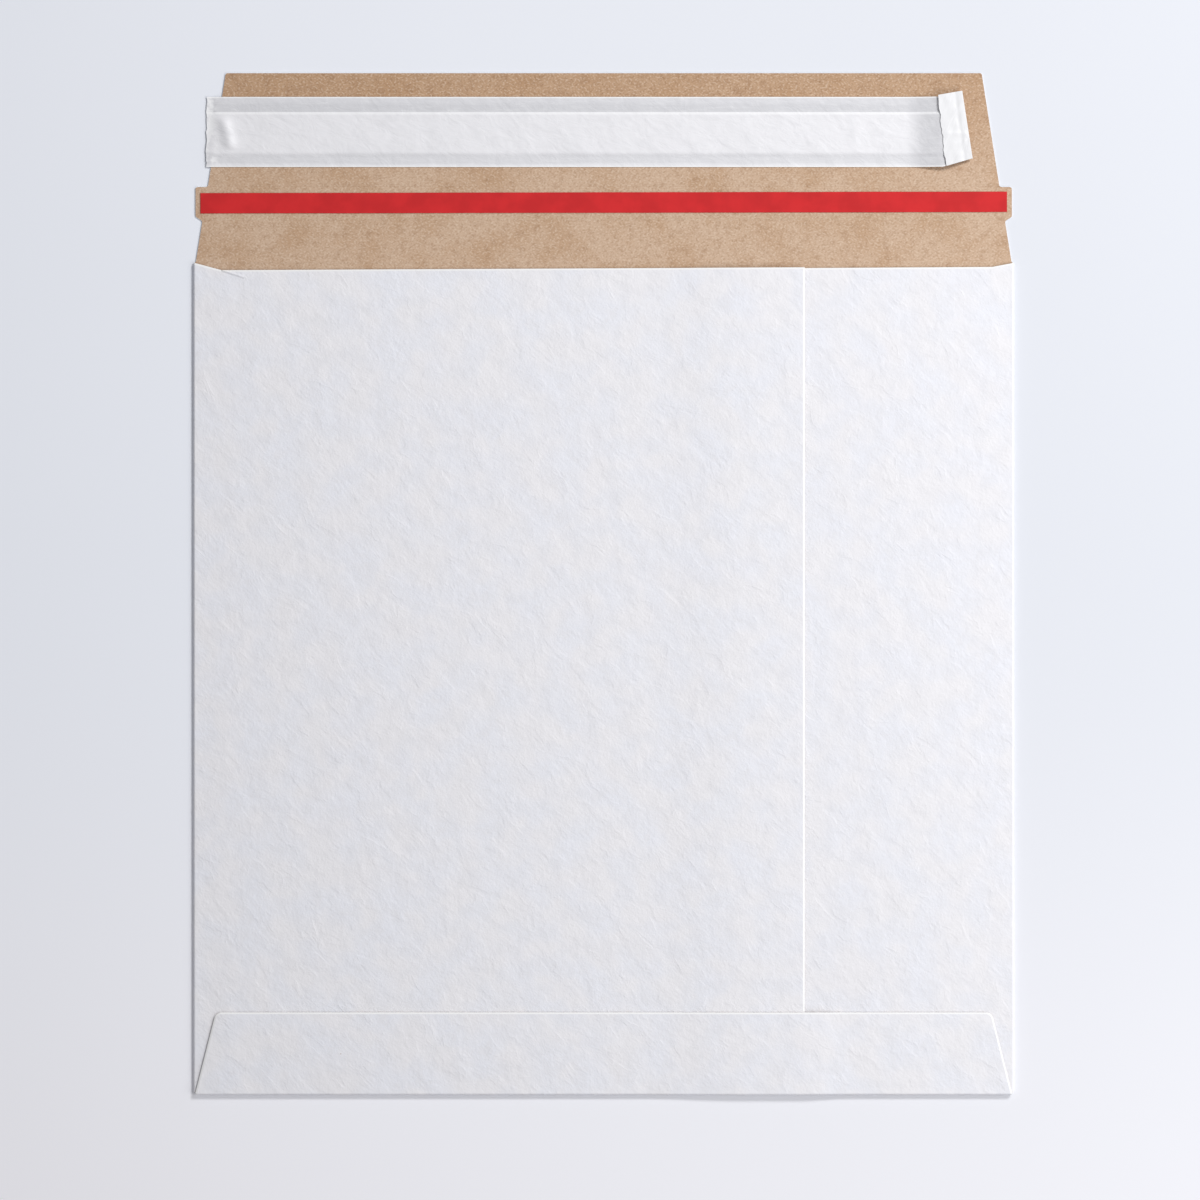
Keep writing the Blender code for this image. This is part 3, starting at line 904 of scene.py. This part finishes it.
def white_board(settings):
    """Coated white face: fine paper grain, slanting wrinkles, cool patches and few specks."""
    finish = Finish("white_board")
    place = finish.flat_place()
    grain = finish.noise(place, 0.9 * MM, 2, 0.6)
    slant = finish.turned(place, -45, 1.8)
    wrinkles = finish.noise(slant, 1.8 * MM, 2, 0.6, 0.3)
    folds = finish.noise(slant, 7 * MM, 3, 0.5, 0.5)
    ridges = (1 - abs(folds * 2 - 1)) ** 10
    patches = finish.noise(place, 11 * MM, 3, 0.55)
    strokes = ridges * finish.ease(patches, 0.45, 0.6)
    height = grain * 0.40 + wrinkles * 0.42 + folds * 1.1 + strokes * 0.25 + patches * 1.3
    tint = finish.ease(finish.noise(place, 14 * MM, 2), 0.36, 0.64)
    dull = finish.ease(finish.noise(place, 7 * MM, 4, 0.7), 0.40, 0.66)
    tinted = finish.mix(tint, settings.white, settings.cool_white)
    colour = finish.mix(dull * 0.5, tinted, tuple(c * 0.93 for c in settings.white))
    cells = {"Vector": place, "Scale": 1 / (34 * MM)}
    dots = finish.node("ShaderNodeTexVoronoi", {"feature": "F1"}, cells)
    speck = finish.ease(dots, 0.009, 0.004) * 0.6
    return finish.surface(
        Base_Color=finish.mix(speck, colour, settings.dark_kraft),
        Roughness=0.55 + grain * 0.12,
        Normal=finish.bump(height, settings.wrinkle_depth),
    )


def kraft_board(settings):
    """Kraft face: pale and dark fibres over slow changes of tone, browner at the tip."""
    finish = Finish("kraft_board")
    place = finish.flat_place()
    pale = finish.noise(finish.turned(place, 25, 1.5), 0.65 * MM, 0)
    dark = finish.noise(finish.turned(place, -35, 1.4), 0.7 * MM, 0)
    felt = finish.noise(place, 3.2 * MM, 3, 0.6)
    clouds = finish.noise(place, 20 * MM, 4, 0.6)
    tip = finish.ease(finish.part(place, 1), *TIP_TONE)
    left = finish.ease(finish.part(place, 0), *LEFT_TONE)
    base = finish.mix(tip * (0.57 + left * 0.13), settings.kraft, settings.tip_kraft)
    cloudy = finish.mix(finish.ease(clouds, 0.40, 0.72) * 0.6, base, settings.tip_kraft)
    blots = finish.ease(finish.noise(place, 6 * MM, 3, 0.65), 0.46, 0.70) * tip
    matted = finish.ease(felt, 0.45, 0.8) * 0.5 + blots * 0.3
    felted = finish.mix(matted, cloudy, settings.dark_kraft)
    lit = finish.mix(finish.ease(pale, 0.48, 0.74) * 0.4, felted, settings.pale_kraft)
    worn = finish.ease(dark, 0.50, 0.76) * (0.34 + tip * 0.2)
    dots = finish.ease(finish.noise(place, 0.9 * MM, 0), 0.72, 0.80) * (0.35 + tip * 0.4)
    return finish.surface(
        Base_Color=finish.mix(worn + dots * (1 - worn), lit, settings.dark_kraft),
        Roughness=0.82 + pale * 0.08,
        Normal=finish.bump(pale * 0.5 + felt * 0.6 + clouds * 0.8, 0.03 * MM),
    )


def board_pulp_and_edge_highlight(settings):
    """Pulp at the cut edges, whiter than the white face: partly the pulp's own colour, partly a painted
    highlight along the edges.
    """
    finish = Finish("board_pulp_and_edge_highlight")
    place = finish.object_place()
    fibres = finish.noise(place, 0.5 * MM, 3, 0.6)
    deep = tuple(c * 0.9 for c in settings.core)
    colour = finish.mix(fibres, settings.core, deep)
    return finish.surface(Base_Color=colour, Roughness=0.8, Normal=finish.bump(fibres, 0.02 * MM))


def red_film(settings):
    """Satin red film with faint marks of its stretching."""
    finish = Finish("red_film")
    place = finish.flat_place()
    streaks = finish.noise(finish.turned(place, 0, 12), 1.2 * MM, 3, 0.6)
    clouds = finish.noise(place, 12 * MM, 3, 0.55)
    deep = tuple(c * 0.86 for c in settings.red)
    colour = finish.mix(finish.ease(clouds, 0.35, 0.65), settings.red, deep)
    return finish.surface(
        Base_Color=colour,
        Roughness=settings.roughness + streaks * 0.1,
        Specular_IOR_Level=0.2,
        Normal=finish.bump(streaks * 0.6 + clouds * 4, 0.03 * MM),
    )


def glassine(settings):
    """Glassine liner: white over the adhesive and greyer where bare board shows through. Towards the finger
    lift it greys further, partly where it leaves the adhesive and partly as painted shade. Painted
    highlights lie along its rims, over the adhesive's upper edge and in patches on its torn left end.
    """
    finish = Finish("glassine")
    place = finish.flat_place()
    wander = finish.noise(finish.turned(place, 0, 6), 6 * MM, 3) * (2.2 * MM)
    waves = finish.noise(finish.turned(place, 30, 1.6), 9 * MM, 2, 0.5, 0.5)
    along, across = finish.part(place, 0), finish.part(place, 1)
    up = across + wander - 1.1 * MM
    over = finish.ease(up, *OVER_LOW) * finish.ease(across, *OVER_HIGH)
    low_rim = finish.ease(up, *LOW_RIM) * 0.5
    high_rim = finish.ease(up, *HIGH_RIM) * 0.3
    milky = finish.noise(finish.turned(place, 20, 2), 4.5 * MM, 4, 0.65, 0.6)
    streaks = finish.noise(finish.turned(place, 0, 7), 1.3 * MM, 3, 0.65)
    share = over + low_rim + high_rim + finish.ease(up, *LOW_HALF) * 0.35
    # Greyer towards the finger lift: partly where the liner leaves the adhesive, partly painted shade of
    # its rise to the lift
    lifted_and_shaded = finish.ease(along, *LIFT_GREY_AND_SHADE)
    colour = finish.mix(share * (1 - lifted_and_shaded * 0.85), settings.grey, settings.white)
    worn = finish.mix(finish.ease(milky, 0.45, 0.75) * 0.3, colour, settings.grey)
    streaked = finish.mix(finish.ease(streaks, 0.48, 0.75) * 0.45, worn, settings.back)
    # Painted highlight along the liner's shoulder over the adhesive's upper edge
    bead = finish.ease(across, *SHOULDER_HIGHLIGHT_START) * finish.ease(across, *OVER_HIGH)
    # Painted highlights along both long rims of the liner
    rims = finish.ease(across, *HIGH_RIM_HIGHLIGHT) + finish.ease(across, *LOW_RIM_HIGHLIGHT)
    # Painted highlight in patches over the liner's torn left end
    end_highlight = finish.ease(along, *END_HIGHLIGHT)
    patches = finish.ease(finish.noise(place, 4 * MM, 2), 0.40, 0.53)
    bright = bead * 0.6 + rims * 0.8 + end_highlight * patches * 0.85
    return finish.surface(
        Base_Color=finish.mix(bright, streaked, settings.bright),
        Roughness=0.36 + milky * 0.2,
        Specular_IOR_Level=0.4,
        Normal=finish.bump(streaks * 0.42 + milky * 1.5 + waves * 2.2, 0.22 * MM),
    )


def coated_glassine(settings):
    """The liner's other side, which the finger lift turns up."""
    finish = Finish("coated_glassine")
    place = finish.flat_place()
    creases = finish.noise(finish.turned(place, 60, 2), 6 * MM, 3, 0.5, 0.8)
    fine = finish.noise(place, 1.4 * MM, 2, 0.6)
    deep = tuple(c * 0.93 for c in settings.back)
    return finish.surface(
        Base_Color=finish.mix(creases, settings.back, deep),
        Roughness=0.3 + creases * 0.15,
        Normal=finish.bump(creases * 1.6 + fine * 0.06, 0.22 * MM),
    )


def melt(name, colour, roughness):
    """Adhesive or glue: a soft tint with fine strings."""
    finish = Finish(name)
    place = finish.object_place()
    strings = finish.noise(finish.turned(place, 0, 5), 1.5 * MM, 3, 0.6)
    deep = tuple(c * 0.82 for c in colour)
    tint = finish.mix(strings, colour, deep)
    return finish.surface(
        Base_Color=tint,
        Roughness=roughness,
        Coat_Weight=0.3,
        Normal=finish.bump(strings, 0.05 * MM),
    )


def dress(node, material):
    """Gives a CAD node that stays a finish of its own."""
    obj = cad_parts[node]
    obj.data.materials.clear()
    obj.data.materials.append(material)


def make_floor(settings):
    bm = bmesh.new()
    bmesh.ops.create_grid(bm, x_segments=1, y_segments=1, size=FLOOR_HALF)
    bmesh.ops.translate(bm, verts=bm.verts, vec=(0, 0, -FLOOR_DROP))
    finish = Finish("floor")
    place = finish.object_place()
    # Painted light and shade across the floor: lighter at the left, darker at the right, and lighter below
    across = finish.ease(finish.part(place, 0), *FLOOR_PAINTED_LIGHT_ACROSS)
    cloud = finish.noise(place, 0.08, 3) * 0.04 - 0.02
    down = finish.ease(finish.part(place, 1), *FLOOR_PAINTED_LIGHT_DOWN)
    side = finish.mix(across + cloud, settings.left_floor, settings.right_floor)
    colour = finish.mix(down * (0.8 - across * 0.3), side, settings.floor_painted_light_below)
    floor = finish_piece("floor", bm, [finish.surface(Base_Color=colour, Roughness=0.9)])


def make_daylight(settings):
    world = bpy.data.worlds.new("daylight")
    bpy.context.scene.world = world
    world.use_nodes = True
    background = world.node_tree.nodes["Background"]
    background.inputs["Color"].default_value = (*settings.daylight, 1)
    background.inputs["Strength"].default_value = settings.daylight_strength


def make_lamp(name, place, size, power):
    lamp = bpy.data.lights.new(name, "AREA")
    lamp.energy = power
    lamp.size = size
    obj = bpy.data.objects.new(name, lamp)
    bpy.context.scene.collection.objects.link(obj)
    obj.location = place
    obj.rotation_euler = (-obj.location).to_track_quat("-Z", "Y").to_euler()


def make_camera(settings):
    camera = bpy.data.cameras.new("camera")
    camera.lens = LENS
    obj = bpy.data.objects.new("camera", camera)
    bpy.context.scene.collection.objects.link(obj)
    distance = settings.frame_width / 2 / (camera.sensor_width / 2 / camera.lens)
    obj.location = (CAMERA_X, CAMERA_Y, distance)
    bpy.context.scene.camera = obj


class ENVELOPE_OT_board(bpy.types.Operator):
    """Cut and fold the board"""

    bl_idname = "envelope.board"
    bl_label = "Folded board"

    def execute(self, context):
        board = make_board(context.scene.envelope_board)
        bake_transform(board)
        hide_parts("folded_board", "closing_flap")
        return {"FINISHED"}


class ENVELOPE_OT_tape(bpy.types.Operator):
    """Lay the red tear tape across the tear strip"""

    bl_idname = "envelope.tape"
    bl_label = "Tear tape"

    def execute(self, context):
        tape = make_tape(context.scene.envelope_tape)
        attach(tape, "flap")
        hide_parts("tear_tape")
        return {"FINISHED"}


class ENVELOPE_OT_liner(bpy.types.Operator):
    """Lay the release liner over the adhesive, with its finger lift"""

    bl_idname = "envelope.liner"
    bl_label = "Release liner"

    def execute(self, context):
        liner = make_liner(context.scene.envelope_liner)
        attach(liner, "flap")
        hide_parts("release_liner")
        return {"FINISHED"}


class ENVELOPE_OT_glue(bpy.types.Operator):
    """Give the adhesive and the glue lines their finishes"""

    bl_idname = "envelope.glue"
    bl_label = "Adhesive and glue"

    def execute(self, context):
        settings = context.scene.envelope_glue
        dress("adhesive_strip", melt("clear_adhesive", settings.adhesive, 0.3))
        hot_melt = melt("hot_melt", settings.hot_melt, 0.45)
        dress("seam_glue", hot_melt)
        dress("bottom_flap_glue", hot_melt)
        return {"FINISHED"}


class ENVELOPE_OT_stage(bpy.types.Operator):
    """Make the floor, the lamps and the camera"""

    bl_idname = "envelope.stage"
    bl_label = "Stage"

    def execute(self, context):
        settings = context.scene.envelope_stage
        make_floor(settings)
        make_daylight(settings)
        make_lamp("key", KEY_PLACE, KEY_SIZE, settings.key_power)
        make_lamp("fill", FILL_PLACE, FILL_SIZE, settings.fill_power)
        make_camera(settings)
        context.scene.view_settings.view_transform = "Standard"
        return {"FINISHED"}


OPERATORS = (
    ENVELOPE_OT_board,
    ENVELOPE_OT_tape,
    ENVELOPE_OT_liner,
    ENVELOPE_OT_glue,
    ENVELOPE_OT_stage,
)
SETTINGS = {
    "envelope_board": BoardSettings,
    "envelope_tape": TapeSettings,
    "envelope_liner": LinerSettings,
    "envelope_glue": GlueSettings,
    "envelope_stage": StageSettings,
}


class ENVELOPE_PT_sidebar(bpy.types.Panel):
    """Lists the envelope's pieces and its stage"""

    bl_idname = "ENVELOPE_PT_sidebar"
    bl_label = "Calendar envelope"
    bl_space_type = "VIEW_3D"
    bl_region_type = "UI"
    bl_category = "Envelope"

    def draw(self, context):
        for operator in OPERATORS:
            self.layout.operator(operator.bl_idname)
        for name, group in SETTINGS.items():
            box = self.layout.box()
            for field in group.__annotations__:
                box.prop(getattr(context.scene, name), field)


def register():
    for kind in (*SETTINGS.values(), *OPERATORS, ENVELOPE_PT_sidebar):
        bpy.utils.register_class(kind)
    for name, group in SETTINGS.items():
        setattr(bpy.types.Scene, name, PointerProperty(type=group))


def unregister():
    for name in SETTINGS:
        delattr(bpy.types.Scene, name)
    for kind in (ENVELOPE_PT_sidebar, *OPERATORS, *SETTINGS.values()):
        bpy.utils.unregister_class(kind)


def main():
    register()
    bpy.ops.envelope.board()
    bpy.ops.envelope.tape()
    bpy.ops.envelope.liner()
    bpy.ops.envelope.glue()
    bpy.ops.envelope.stage()


if __name__ == "__main__":
    main()
